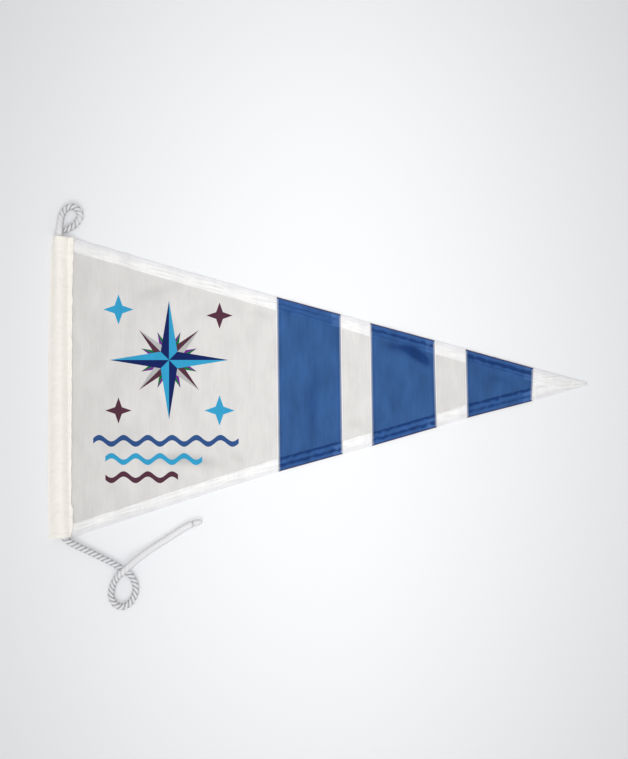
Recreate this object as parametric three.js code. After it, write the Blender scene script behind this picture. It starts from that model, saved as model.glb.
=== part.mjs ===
// Nautical pennant: a long triangle of sewn white and blue bands with hemmed edges, a canvas heading
// folded round a laid rope, the rope's eye above the heading and its loose tail below.
// Millimetres. It lies face up on the surface: +X from heading to tip, +Y to the top edge, +Z up.

import * as THREE from 'three';

// Band cloth
const clothThickness = 1.2;
const hemWidth = 13;
const hemRise = 1.0;
const hemStep = 0.9;
const seamRise = 0.4;
const seamReach = 2.4;
const seamStep = 0.6;
const sewingGap = 0.3;

// Most of a narrow band's height that a hem and its step may take
const hemShare = 0.42;
const stepShare = 0.04;

// Canvas heading
const canvasThickness = 1.0;
const foldRadius = 1.15;
const turnedInWidth = 4.6;
const turnedInRise = 0.6;
const headingLean = 2.2;

// Inside the heading the cloth lies on the canvas, and beside it the cloth comes down to the surface
const seatHeight = canvasThickness + sewingGap;
const seatEnd = -240.3;
const surfaceStart = -228.3;

// Laid rope of three strands. The eye's end thins to tuck in, and the tail's end is rounded off.
const ropeRadius = 3.5;
const strandCount = 3;
const layLength = 12.7;
const grooveDepth = 0.26;
const tuckedShare = 0.42;
const tuckedLength = 10;
const sealedShare = 0.6;
const sealedLength = 2.5;

// Stretch of the heading in which the rope is out of sight
const hiddenTop = 136;
const hiddenBottom = -136;

// Fineness of the surfaces
const edgesPerStrand = 4;
const ringsPerLay = 9;
const hiddenRingPitch = 24;
const headingColumns = 15;
const foldSteps = 4;

// Columns of points beside a seam, beside the heading and at the tip
const seamSteps = [0, seamReach, seamReach + seamStep];
const hoistSteps = [0, 6, 10, 14, 18];
const tipSteps = [0];

const finish = {
  white: { color: 0xdedcd6, roughness: 0.85, metalness: 0 },
  blue: { color: 0x3c5f95, roughness: 0.85, metalness: 0 },
  canvas: { color: 0xf4efe6, roughness: 0.9, metalness: 0 },
  rope: { color: 0xe6e6e6, roughness: 0.7, metalness: 0 },
};

// Long edges of the cloth, a row for each place where they turn a little
const edges = [
  { x: -246.3, top: 146.9, bottom: -144.5 },
  { x: -241.0, top: 147.4, bottom: -147.8 },
  { x: -200.0, top: 135.5, bottom: -134.5 },
  { x: -166.0, top: 125.0, bottom: -123.5 },
  { x: -97.0, top: 105.5, bottom: -101.3 },
  { x: -39.0, top: 89.0, bottom: -83.6 },
  { x: 23.0, top: 72.1, bottom: -66.5 },
  { x: 53.0, top: 63.4, bottom: -58.4 },
  { x: 117.0, top: 46.1, bottom: -39.9 },
  { x: 147.5, top: 37.4, bottom: -30.4 },
  { x: 213.0, top: 19.2, bottom: -13.5 },
  { x: 267.0, top: 4.6, bottom: 2.2 },
];

// Sides of the bands, from the sewn hoist edge to the tip
const borders = [
  { topX: -246.3, bottomX: -246.3 },
  { topX: -40.2, bottomX: -38.4 },
  { topX: 22.7, bottomX: 24.7 },
  { topX: 52.3, bottomX: 54.1 },
  { topX: 115.6, bottomX: 117.9 },
  { topX: 146.6, bottomX: 148.1 },
  { topX: 213.4, bottomX: 212.0 },
  { topX: 267.0, bottomX: 267.0 },
];

// Bands in order from the heading: how many squares of surface lie across and up each of them
const bands = [
  { name: 'hoist_panel', cloth: 'white', across: 16, up: 16 },
  { name: 'blue_band_1', cloth: 'blue', across: 6, up: 14 },
  { name: 'white_band_1', cloth: 'white', across: 4, up: 10 },
  { name: 'blue_band_2', cloth: 'blue', across: 9, up: 14 },
  { name: 'white_band_2', cloth: 'white', across: 4, up: 6 },
  { name: 'blue_band_3', cloth: 'blue', across: 7, up: 5 },
  { name: 'white_tip', cloth: 'white', across: 8, up: 2 },
];

// Soft folds that lift the cloth off the surface. turn is the spine's angle in degrees, bow how far
// the spine's ends fall behind its middle, halfLength and halfWidth how far the fold reaches.
const folds = [
  { x: -131, y: -75, halfLength: 52, halfWidth: 12, turn: -4, bow: 7, height: 2.4 },
  { x: -80, y: -72, halfLength: 12, halfWidth: 8, turn: -40, bow: 1, height: 1 },
  { x: 97.5, y: 30, halfLength: 22, halfWidth: 10, turn: -33, bow: 3, height: 2.6 },
  { x: 78, y: 38, halfLength: 18, halfWidth: 9, turn: -8, bow: 1, height: 1.2 },
  { x: -2, y: -18, halfLength: 52, halfWidth: 13, turn: 88, bow: 3, height: 1.5 },
  { x: 37, y: -40, halfLength: 15, halfWidth: 10, turn: -15, bow: 2, height: 1.5 },
  { x: -56, y: 68, halfLength: 22, halfWidth: 9, turn: -17, bow: 3, height: 1.6 },
  { x: -154, y: 92, halfLength: 40, halfWidth: 12, turn: 17, bow: -2, height: 2 },
  { x: -120, y: 66, halfLength: 34, halfWidth: 12, turn: 26, bow: 3, height: 1.2 },
  { x: -214, y: -38, halfLength: 54, halfWidth: 15, turn: 84, bow: 3, height: 1.6 },
  { x: 132, y: -6, halfLength: 20, halfWidth: 9, turn: 80, bow: 2, height: 1.1 },
  { x: 181, y: 5, halfLength: 22, halfWidth: 8, turn: -24, bow: 3, height: 1.2 },
];

// Heading from bottom to top. ridge is where the rope lies under it, reach how far the canvas takes
// to come down to its sewn edge, crown and seat the height of its inner face there and at that edge,
// and ease how softly it comes down.
const headingStations = [
  { y: -150, left: -265.4, right: -243.6, ridge: -249.2, reach: 7.4, crown: 9.2, seat: 5.0, ease: 1.5 },
  { y: -145.6, left: -265.4, right: -242.9, ridge: -251.7, reach: 7.6, crown: 9.1, seat: 4.3, ease: 1.5 },
  { y: -145.2, left: -265.4, right: -242.8, ridge: -251.9, reach: 7.6, crown: 9.1, seat: 4.2, ease: 1.5 },
  { y: -138, left: -265.7, right: -241.8, ridge: -253.1, reach: 8, crown: 9, seat: 3.9, ease: 1.5 },
  { y: -131, left: -266.2, right: -241.6, ridge: -253.2, reach: 8, crown: 9, seat: 3.9, ease: 1.5 },
  { y: -129, left: -266.4, right: -241.6, ridge: -253.2, reach: 8, crown: 9, seat: 2.9, ease: 1.5 },
  { y: -122, left: -266.9, right: -241.7, ridge: -253.3, reach: 8, crown: 9, seat: 2.9, ease: 1.5 },
  { y: -118, left: -267.0, right: -243.3, ridge: -253.4, reach: 8, crown: 9, seat: 2.9, ease: 1.5 },
  { y: -63, left: -267.0, right: -243.1, ridge: -254.0, reach: 8, crown: 9, seat: 2.9, ease: 1.5 },
  { y: 0, left: -266.6, right: -242.7, ridge: -254.5, reach: 8, crown: 9, seat: 2.9, ease: 1.5 },
  { y: 60, left: -265.8, right: -242.5, ridge: -254.7, reach: 8, crown: 9, seat: 2.9, ease: 1.5 },
  { y: 112, left: -264.2, right: -242.0, ridge: -254.8, reach: 8, crown: 9, seat: 2.9, ease: 1.5 },
  { y: 128, left: -263.6, right: -241.4, ridge: -254.9, reach: 8, crown: 9, seat: 2.9, ease: 1.5 },
  { y: 130, left: -263.5, right: -241.3, ridge: -254.9, reach: 8, crown: 9, seat: 3.9, ease: 1.5 },
  { y: 139, left: -263.2, right: -241.0, ridge: -254.9, reach: 8, crown: 9.3, seat: 3.9, ease: 1.1 },
  { y: 145.2, left: -262.6, right: -240.9, ridge: -254.9, reach: 8, crown: 10.2, seat: 3.9, ease: 0.7 },
  { y: 145.6, left: -262.5, right: -240.9, ridge: -254.9, reach: 8, crown: 10.2, seat: 3.9, ease: 0.7 },
  { y: 150, left: -262.0, right: -240.8, ridge: -254.9, reach: 8, crown: 10.8, seat: 3.9, ease: 0.7 },
];

// Route of the rope's middle: the eye from its tucked end, the stretch inside the heading, the tail
const ropeRoute = [
  [-254.6, 153.8, 1.5],
  [-252.0, 154.4, 2.1],
  [-248.5, 155.5, 3.1],
  [-244.0, 157.7, 3.6],
  [-239.3, 161.1, 3.6],
  [-235.5, 166.2, 3.6],
  [-234.9, 171.9, 3.6],
  [-238.3, 176.9, 3.6],
  [-243.4, 178.5, 3.6],
  [-248.6, 176.3, 3.6],
  [-252.4, 171.1, 4.0],
  [-254.2, 164.6, 5.5],
  [-254.9, 154.4, 7.3],
  [-254.9, 147.8, 6.1],
  [-254.9, 141.3, 4.9],
  [-254.9, 129.9, 4.8],
  [-254.5, -2.7, 4.8],
  [-253.7, -111.6, 4.8],
  [-253.1, -137.0, 4.8],
  [-252.2, -143.8, 4.8],
  [-249.6, -149.3, 4.8],
  [-245.0, -153.0, 4.6],
  [-236.1, -157.6, 3.9],
  [-217.4, -166.5, 3.6],
  [-195.8, -177.9, 3.6],
  [-184.3, -186.5, 3.6],
  [-179.7, -197.3, 3.6],
  [-181.5, -207.2, 3.6],
  [-186.2, -213.9, 3.6],
  [-193.5, -217.1, 3.6],
  [-200.3, -214.2, 3.6],
  [-203.9, -206.9, 3.6],
  [-203.0, -198.3, 4.2],
  [-198.3, -188.6, 7.6],
  [-189.9, -180.2, 11.3],
  [-179.1, -170.6, 8.4],
  [-164.6, -159.9, 4.4],
  [-149.1, -150.2, 3.6],
  [-127.2, -136.6, 3.6],
  [-113.9, -132.3, 3.6],
];

// Value of a table's field between its rows
function between(rows, key, field, at) {
  const last = rows.length - 2;
  const found = rows.findIndex((row, i) => i === last || at <= rows[i + 1][key]);
  const low = rows[found];
  const high = rows[found + 1];
  const share = (at - low[key]) / (high[key] - low[key]);
  return THREE.MathUtils.lerp(low[field], high[field], share);
}

function edgeHeight(side, x) {
  return between(edges, 'x', side, x);
}

// Height of one fold over the surface: a bump that falls to nothing along its spine and across it
function foldHeight(fold, x, y) {
  const angle = THREE.MathUtils.degToRad(fold.turn);
  const along = (x - fold.x) * Math.cos(angle) + (y - fold.y) * Math.sin(angle);
  const across = (y - fold.y) * Math.cos(angle) - (x - fold.x) * Math.sin(angle);
  const s = along / fold.halfLength;
  const t = (across + fold.bow * s * s) / fold.halfWidth;
  if (Math.abs(s) >= 1 || Math.abs(t) >= 1) {
    return 0;
  }
  return fold.height * (1 - s * s) ** 2 * (1 - t * t) ** 2;
}

// Height of the cloth's underside
function clothLift(x, y) {
  const seat = seatHeight * (1 - THREE.MathUtils.smoothstep(x, seatEnd, surfaceStart));
  return folds.reduce((sum, fold) => sum + foldHeight(fold, x, y), seat);
}

// A closed solid between an upper and a lower grid of points, both written row by row
function gridSolid(upper, lower, across, up) {
  const stride = across + 1;
  const count = upper.length;
  const index = [];
  const quad = (a, b, c, d) => index.push(a, b, c, a, c, d);
  for (let row = 0; row < up; row += 1) {
    for (let col = 0; col < across; col += 1) {
      const a = row * stride + col;
      quad(a, a + 1, a + stride + 1, a + stride);
      quad(count + a, count + a + stride, count + a + stride + 1, count + a + 1);
    }
  }
  for (let col = 0; col < across; col += 1) {
    const far = up * stride + col;
    quad(count + col, count + col + 1, col + 1, col);
    quad(far, far + 1, count + far + 1, count + far);
  }
  for (let row = 0; row < up; row += 1) {
    const left = row * stride;
    const right = left + across;
    quad(left, left + stride, count + left + stride, count + left);
    quad(count + right, count + right + stride, right + stride, right);
  }
  return geometryOf([...upper, ...lower], index);
}

// A closed solid through rings of points that run anticlockwise about the way they follow
function loftSolid(rings, firstOutline, lastOutline) {
  const size = rings[0].length;
  const index = [];
  for (let ring = 0; ring < rings.length - 1; ring += 1) {
    for (let i = 0; i < size; i += 1) {
      const a = ring * size + i;
      const b = ring * size + ((i + 1) % size);
      index.push(a, b, b + size, a, b + size, a + size);
    }
  }
  for (const [a, b, c] of THREE.ShapeUtils.triangulateShape(firstOutline, [])) {
    index.push(a, c, b);
  }
  const start = (rings.length - 1) * size;
  for (const [a, b, c] of THREE.ShapeUtils.triangulateShape(lastOutline, [])) {
    index.push(start + a, start + b, start + c);
  }
  return geometryOf(rings.flat(), index);
}

function geometryOf(points, index) {
  const geometry = new THREE.BufferGeometry();
  geometry.setFromPoints(points);
  geometry.setIndex(index);
  geometry.computeVertexNormals();
  return geometry;
}

function pieceOf(name, geometry, cloth) {
  const mesh = new THREE.Mesh(geometry, new THREE.MeshStandardMaterial(finish[cloth]));
  mesh.name = name;
  return mesh;
}

// Distances from one side of a band to the other
function acrossPlaces(count, leftSteps, rightSteps, width) {
  const left = leftSteps.at(-1);
  const inner = width - left - rightSteps.at(-1);
  const middle = [];
  for (let i = 1; i < count; i += 1) {
    middle.push(left + (inner * i) / count);
  }
  return [...leftSteps, ...middle, ...rightSteps.toReversed().map((step) => width - step)];
}

// Distances up a band from its bottom edge, and the rise there: the bottom hem, the single cloth,
// the top hem. The hems narrow where the band does, and never quite meet.
function upPlaces(count, height) {
  const hem = Math.min(hemWidth, height * hemShare);
  const inner = hem + Math.min(hemStep, height * stepShare);
  const places = [{ at: 0, rise: hemRise }, { at: hem, rise: hemRise }, { at: inner, rise: 0 }];
  for (let i = 1; i < count; i += 1) {
    places.push({ at: inner + ((height - 2 * inner) * i) / count, rise: 0 });
  }
  places.push({ at: height - inner, rise: 0 }, { at: height - hem, rise: hemRise });
  places.push({ at: height, rise: hemRise });
  return places;
}

function bandSolid(band, index) {
  const left = borders[index];
  const right = borders[index + 1];
  const isFirst = index === 0;
  const isLast = index === bands.length - 1;
  const leftMid = (left.topX + left.bottomX) / 2 + (isFirst ? 0 : sewingGap / 2);
  const rightMid = (right.topX + right.bottomX) / 2 - (isLast ? 0 : sewingGap / 2);
  const leftSteps = isFirst ? hoistSteps : seamSteps;
  const rightSteps = isLast ? tipSteps : seamSteps;
  const width = rightMid - leftMid;
  const columns = acrossPlaces(band.across, leftSteps, rightSteps, width);
  const rowCount = upPlaces(band.up, 1).length;
  const upper = [];
  const lower = [];
  for (let row = 0; row < rowCount; row += 1) {
    for (const at of columns) {
      const straight = leftMid + at;
      const whole = edgeHeight('top', straight) - edgeHeight('bottom', straight);
      const share = upPlaces(band.up, whole)[row].at / whole - 0.5;
      const lean = THREE.MathUtils.lerp(left.topX - left.bottomX, right.topX - right.bottomX, at / width);
      const x = straight + lean * share;
      const bottom = edgeHeight('bottom', x);
      const place = upPlaces(band.up, edgeHeight('top', x) - bottom)[row];
      const y = bottom + place.at;
      const onSeam = (!isFirst && at <= seamReach) || (!isLast && width - at <= seamReach);
      const lift = clothLift(x, y);
      upper.push(new THREE.Vector3(x, y, lift + clothThickness + place.rise + (onSeam ? seamRise : 0)));
      lower.push(new THREE.Vector3(x, y, lift));
    }
  }
  return pieceOf(band.name, gridSolid(upper, lower, columns.length - 1, rowCount - 1), band.cloth);
}

// The canvas's inner face over the rope: a crown that runs out to the fold on one side and to the
// sewn edge on the other
function innerHeight(station, x) {
  const offset = x - station.ridge;
  const reach = offset > 0 ? station.reach : station.ridge - station.left - foldRadius;
  const foot = offset > 0 ? station.seat : canvasThickness + sewingGap;
  const share = Math.min(Math.abs(offset) / reach, 1);
  return foot + (station.crown - foot) * (1 - share * share) ** station.ease;
}

// Section of the heading: flat underneath, folded at the left, over the rope, sewn down at the right
function headingOutline(station) {
  const { left, right } = station;
  const isEnd = Math.abs(station.y) > headingStations.at(-1).y - turnedInWidth;
  const thickness = canvasThickness + (isEnd ? turnedInRise : 0);
  const start = left + foldRadius + sewingGap;
  const outer = [];
  const inner = [];
  for (let i = 0; i <= headingColumns; i += 1) {
    const x = THREE.MathUtils.lerp(start, right, i / headingColumns);
    const z = innerHeight(station, x);
    const slope = innerHeight(station, x + sewingGap) - innerHeight(station, x - sewingGap);
    const across = new THREE.Vector2(-slope, 2 * sewingGap).setLength(thickness);
    inner.unshift(new THREE.Vector2(x, z));
    outer.push(new THREE.Vector2(Math.min(x + across.x, right), z + across.y));
  }
  outer.at(-1).x = right;
  const fold = [new THREE.Vector2(right, 0)];
  for (let i = 0; i < foldSteps; i += 1) {
    const angle = -Math.PI / 2 - (Math.PI * i) / foldSteps;
    const rim = new THREE.Vector2(Math.cos(angle), Math.sin(angle)).multiplyScalar(foldRadius);
    fold.push(rim.add(new THREE.Vector2(left + foldRadius, foldRadius)));
  }
  const throat = [
    new THREE.Vector2(left + foldRadius, foldRadius),
    new THREE.Vector2(start, canvasThickness),
    new THREE.Vector2(right, canvasThickness),
  ];
  return [...fold, ...outer, ...inner, ...throat];
}

function headingSolid() {
  const outlines = headingStations.map(headingOutline);
  const topY = headingStations.at(-1).y;
  const rings = headingStations.map((station, i) => outlines[i].map((point) => {
    const lean = (headingLean * (point.x - station.left)) / (station.right - station.left);
    return new THREE.Vector3(point.x, station.y * (1 - lean / topY), point.y);
  }));
  const turned = (outline) => outline.map((point) => new THREE.Vector2(point.y, point.x));
  return pieceOf('heading', loftSolid(rings, turned(outlines[0]), turned(outlines.at(-1))), 'canvas');
}

// Radius of the rope in the direction of an angle counted from the crest of a strand
function strandRadius(angle, groove) {
  return 1 - groove * Math.sin((strandCount * angle) / 2) ** 2;
}

// Distances along the rope at which its section stands, far apart where it is out of sight
function ropePlaces(route, length) {
  const pitch = layLength / ringsPerLay;
  const places = [];
  let along = 0;
  let turns = 0;
  while (along < length) {
    const { y } = route.getPointAt(along / length);
    const hidden = y < hiddenTop && y > hiddenBottom;
    places.push({ along, turns, hidden });
    const step = hidden ? Math.min(hiddenRingPitch, Math.max(pitch, y - hiddenBottom)) : pitch;
    turns += hidden ? 0 : step / layLength;
    along += step;
  }
  places.push({ along: length, turns, hidden: false });
  return places;
}

function ropeSolid() {
  const route = new THREE.CatmullRomCurve3(ropeRoute.map((point) => new THREE.Vector3(...point)));
  route.arcLengthDivisions = 2000;
  const length = route.getLength();
  const up = new THREE.Vector3(0, 0, 1);
  const sides = strandCount * edgesPerStrand;
  const rings = ropePlaces(route, length).map(({ along, turns, hidden }) => {
    const middle = route.getPointAt(along / length);
    const ahead = route.getTangentAt(along / length);
    const aside = new THREE.Vector3().crossVectors(up, ahead).normalize();
    const above = new THREE.Vector3().crossVectors(ahead, aside);
    const tucked = THREE.MathUtils.lerp(tuckedShare, 1, Math.min(along / tuckedLength, 1));
    const sealed = THREE.MathUtils.lerp(sealedShare, 1, Math.min((length - along) / sealedLength, 1));
    const body = tucked * sealed;
    const ring = [];
    for (let i = 0; i < sides; i += 1) {
      const angle = (2 * Math.PI * i) / sides;
      const radius = ropeRadius * body * strandRadius(angle, hidden ? 0 : grooveDepth);
      const turned = angle - 2 * Math.PI * turns;
      const offset = aside.clone().multiplyScalar(radius * Math.cos(turned));
      ring.push(offset.addScaledVector(above, radius * Math.sin(turned)).add(middle));
    }
    return ring;
  });
  const outline = rings[0].map((_, i) => {
    const angle = (2 * Math.PI * i) / sides;
    const radius = strandRadius(angle, grooveDepth);
    return new THREE.Vector2(radius * Math.cos(angle), radius * Math.sin(angle));
  });
  return pieceOf('rope', loftSolid(rings, outline, outline), 'rope');
}

const pennant = new THREE.Group();
pennant.add(...bands.map(bandSolid), headingSolid(), ropeSolid());

export default pennant;
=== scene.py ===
"""Nautical pennant laid out face up: sewn bands of bunting, a canvas heading and a laid rope.

Everything is in metres in the frame of the packed model: +X from the heading to the tip, +Y to the
top edge, +Z up from the surface that the pennant lies on.
"""

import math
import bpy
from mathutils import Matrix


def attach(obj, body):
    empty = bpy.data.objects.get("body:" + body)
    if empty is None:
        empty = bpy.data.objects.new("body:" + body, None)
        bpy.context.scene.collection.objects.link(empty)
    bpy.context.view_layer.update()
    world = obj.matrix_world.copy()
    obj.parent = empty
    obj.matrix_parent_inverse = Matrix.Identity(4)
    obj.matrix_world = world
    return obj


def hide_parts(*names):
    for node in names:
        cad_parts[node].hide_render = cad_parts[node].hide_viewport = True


bl_info = {
    "name": "Nautical Pennant",
    "version": (1, 0, 0),
    "blender": (4, 5, 0),
    "location": "View3D > Sidebar > Pennant",
    "description": "Builds a sewn boat pennant with its canvas heading and laid rope",
    "category": "Add Mesh",
}

import bpy
import numpy as np

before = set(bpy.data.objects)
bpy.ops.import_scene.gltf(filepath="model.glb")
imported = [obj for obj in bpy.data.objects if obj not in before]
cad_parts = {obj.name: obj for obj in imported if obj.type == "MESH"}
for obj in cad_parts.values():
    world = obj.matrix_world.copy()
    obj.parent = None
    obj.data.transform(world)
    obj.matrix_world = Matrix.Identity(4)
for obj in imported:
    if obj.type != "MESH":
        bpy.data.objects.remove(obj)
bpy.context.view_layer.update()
MM = 0.001
TURN = 2 * math.pi


def table(columns, rows):
    """Columns of a table by name, as arrays."""
    return dict(zip(columns, np.array(rows, float).T))


def read(rows, key, places):
    """Every column of a table at places along one of them."""
    return {name: np.interp(places, rows[key], values) for name, values in rows.items()}


# Long edges of the cloth, a row for each place where they turn a little
EDGES = table(
    ("x", "top", "bottom"),
    [
        (-0.2463, 0.1469, -0.1445),
        (-0.2410, 0.1474, -0.1478),
        (-0.2000, 0.1355, -0.1345),
        (-0.1660, 0.1250, -0.1235),
        (-0.0970, 0.1055, -0.1013),
        (-0.0390, 0.0890, -0.0836),
        (0.0230, 0.0721, -0.0665),
        (0.0530, 0.0634, -0.0584),
        (0.1170, 0.0461, -0.0399),
        (0.1475, 0.0374, -0.0304),
        (0.2130, 0.0192, -0.0135),
        (0.2670, 0.0046, 0.0022),
    ],
)

# Sides of the bands, from the sewn hoist edge to the tip
BORDERS = table(
    ("top_x", "bottom_x"),
    [
        (-0.2463, -0.2463),
        (-0.0402, -0.0384),
        (0.0227, 0.0247),
        (0.0523, 0.0541),
        (0.1156, 0.1179),
        (0.1466, 0.1481),
        (0.2134, 0.2120),
        (0.2670, 0.2670),
    ],
)

# Bands in order from the heading, with the colour of their cloth and the pitch of their points
BANDS = (
    ("hoist_panel", "white", 1.4 * MM),
    ("blue_band_1", "blue", 1.1 * MM),
    ("white_band_1", "white", 1.0 * MM),
    ("blue_band_2", "blue", 1.0 * MM),
    ("white_band_2", "white", 0.9 * MM),
    ("blue_band_3", "blue", 0.9 * MM),
    ("white_tip", "white", 0.8 * MM),
)
LAST_BAND = len(BANDS) - 1

# Soft folds that lift the cloth off the surface. turn is the spine's angle in degrees, bow how far the
# spine's ends fall behind its middle, long and wide how far the fold reaches each way, and the last
# column how dark the painted shade in its crease is.
FOLDS = table(
    ("x", "y", "long", "wide", "turn", "bow", "height", "fold_shade_depth"),
    [
        (-0.131, -0.075, 0.052, 0.012, -4, 0.007, 0.0024, 1.1),
        (-0.080, -0.072, 0.012, 0.008, -40, 0.001, 0.0010, 0.45),
        (0.0975, 0.030, 0.022, 0.010, -33, 0.003, 0.0026, 2.0),
        (0.078, 0.038, 0.018, 0.009, -8, 0.001, 0.0012, 0.7),
        (-0.002, -0.018, 0.052, 0.013, 88, 0.003, 0.0015, 0.4),
        (0.037, -0.040, 0.015, 0.010, -15, 0.002, 0.0015, 0.25),
        (-0.056, 0.068, 0.022, 0.009, -17, 0.003, 0.0016, 0.12),
        (-0.154, 0.092, 0.040, 0.012, 17, -0.002, 0.0020, 0.15),
        (-0.120, 0.066, 0.034, 0.012, 26, 0.003, 0.0012, 0.1),
        (-0.214, -0.038, 0.054, 0.015, 84, 0.003, 0.0016, 0.1),
        (0.132, -0.006, 0.020, 0.009, 80, 0.002, 0.0011, 0.1),
        (0.181, 0.005, 0.022, 0.008, -24, 0.003, 0.0012, 0.3),
    ],
)

# Inside the heading the cloth lies on the canvas, and beside it the cloth comes down to the surface
SEAT_HEIGHT = 1.3 * MM
SEAT_END = -0.2403
SURFACE_START = -0.2283

# Most of a narrow band's height that a hem may take, and that its rows of points and the step
# beside them may take
HEM_SHARE = 0.5
ROWS_SHARE = 0.42
STEP_SHARE = 0.04

# Distances from an outer edge at which a hem's points stand, from its inner fold past that, and from
# a seam at which a band's columns of points stand
HEM_ROWS = np.concatenate([[0, 0.2, 0.5, 0.9], np.arange(1.5, 12.6, 0.55), [12.7, 13.0]]) * MM
STEP_ROWS = np.array([0.2, 0.4, 0.7, 1.1, 1.6, 2.2]) * MM
SEAM_COLUMNS = np.array([0, 0.2, 0.5, 0.9, 1.3, 1.7, 2.1, 2.5, 3.0, 3.5, 4.1, 5.0]) * MM

# Columns of points on the lap of a seam, and the fewest rows between a band's hems
LAP_COLUMNS = 5
FEWEST_ROWS = 6

# The blue cloth runs on this far under the white cloth, and the white steps up over it
LAP = 1.2 * MM
LAP_CLEARANCE = 0.06 * MM

# Distance to a seam on a side that has none
FAR = 1.0

# Distances at which a change in the cloth starts and ends: from the hem's inner fold, and from a seam
# where the white steps up, is folded double, where the blue hems rise, where the cloth grows uneven
# and where a neighbour's cloth under a hem ends
HEM_EDGE = (-0.5 * MM, 1.1 * MM)
LAP_EDGE = (1.2 * MM, 2.0 * MM)
WHITE_FOLD = (0.6 * MM, 1.1 * MM)
BLUE_START = (-0.2 * MM, 0.4 * MM)
CALM_EDGE = (1.5 * MM, 5.0 * MM)
UNDER_EDGE = (8.0 * MM, 9.5 * MM)

# How round the cloth's edges are, and the flat share of an edge
EDGE_RADIUS = 0.5 * MM
EDGE_FLAT = 0.3

# Roll of the folded white edge at a seam, with its place, width and height, and how much lower a
# hem is there
ROLL = (0.9 * MM, 0.7 * MM, 0.3 * MM)
LAPPED_HEM = 0.35

# Troughs pressed by the stitches, each with its width and depth. The one beside a seam is this far
# from it, and those in the hems rise a little between two stitches.
HEM_TROUGH = (0.8 * MM, 0.26 * MM)
SEAM_TROUGH = (0.8 * MM, 0.12 * MM)
SEAM_TROUGH_AT = 2.7 * MM
TROUGH_BEAT = 0.2

# Rows of stitches, by their distance from the outer edge
STITCH_ROWS = {"top": (6.0 * MM, 10.6 * MM), "bottom": (5.6 * MM, 12.4 * MM)}

# How dark the painted shade along each row of stitches is, where the stitches draw the cloth in, for
# each band from the heading
WHITE_STITCH_SHADES = (0.12, 0.08)
STITCH_SHADES = {
    "top": (WHITE_STITCH_SHADES, (0.3, 0.2), WHITE_STITCH_SHADES, (1.1, 0.15), WHITE_STITCH_SHADES, (2.2, 0.3), WHITE_STITCH_SHADES),
    "bottom": (WHITE_STITCH_SHADES, (1.3, 1.6), WHITE_STITCH_SHADES, (1.2, 1.6), WHITE_STITCH_SHADES, (0.8, 2.2), WHITE_STITCH_SHADES),
}

# Painted shade along the stitches: width of its line where the cloth is drawn in, its evenness and its
# faintest share
DRAWN_SHADE_WIDTH = 1.7 * MM
DRAWN_SHADE_SHARE = 0.85
DRAWN_SHADE_LEAST = 0.35

# How far streaks of painted shade, where the hems pucker, darken each cloth in its hems, and the width
# of the toned strip along its outer fold, with how strong that is. On the white cloth that strip is
# painted shade.
HEM_STREAK_SHADE = {"white": 0.25, "blue": 0.22}
WHITE_RIM_SHADE = (3.2 * MM, 5.2 * MM)
WHITE_RIM_SHADE_SHARE = 0.7
BLUE_RIM = 1.1 * MM

# How far a neighbour's cloth under a hem shows, how dark the painted shade of creases and stitches is
# at most, and how much of that painted shade the line beside a seam has
UNDER_SHARE = 0.55
CREASE_SHADE_SHARE = 0.85
SEAM_SHADE_SHARE = 0.3

# Painted shade in a fold's crease: its place and width across the spine, in widths of the fold
FOLD_SHADE_PLACE = (0.25, 0.46)

# Uneven waves: length along the first and along the second coordinate that they are read at, rise
# and seed. Those of the heading are read up the heading first.
RIPPLES = {
    "pucker": (26 * MM, 6 * MM, 0.26 * MM, 11),
    "drawn": (5.5 * MM, 90 * MM, 0.2 * MM, 31),
    "ribs": (8 * MM, 110 * MM, 0.07 * MM, 51),
    "stitch_line": (11 * MM, 1, 0.4 * MM, 71),
    "stitch_shade_dashes": (12 * MM, 1, 0.4, 91),
    "streaks": (34 * MM, 3.4 * MM, 1, 111),
    "heading_edge": (17 * MM, 1, 0.25 * MM, 5),
    "heading_swell": (26 * MM, 30 * MM, 0.28 * MM, 7),
    "heading_waves": (8 * MM, 20 * MM, 0.2 * MM, 8),
}

# How many sine waves add up, how far their lengths spread, and how far waves reach beside a hem
RIPPLE_WAVES = 9
RIPPLE_SPREAD = 0.35
DRAWN_REACH = 10 * MM

# Points of one stitch along its length, how high they stand over the cloth, how far stitches stay
# from a seam and from the tip, how many sides a thread has and how thin its ends are
STITCH_SHARES = np.array([0.0, 0.08, 0.3, 0.55, 0.75, 0.83])
STITCH_RISE = np.array([-0.25, 0.05, 0.15, 0.15, 0.05, -0.25]) * MM
STITCH_END = 2 * MM
STITCH_TIP = 9 * MM
THREAD_SIDES = 6
THREAD_END = 0.45

# Points of one leg of the zigzag across a seam, the one that stands on the fold, its rise over the
# cloth, and how far the zigzag stays from the edges
ZIGZAG_ACROSS = np.array([-0.5, -0.25, -0.02, 0.12, 0.5, 1.0, 1.6]) * MM
ZIGZAG_FOLD = 3
ZIGZAG_RISE = 0.12 * MM
ZIGZAG_END = 1.2 * MM

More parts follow.
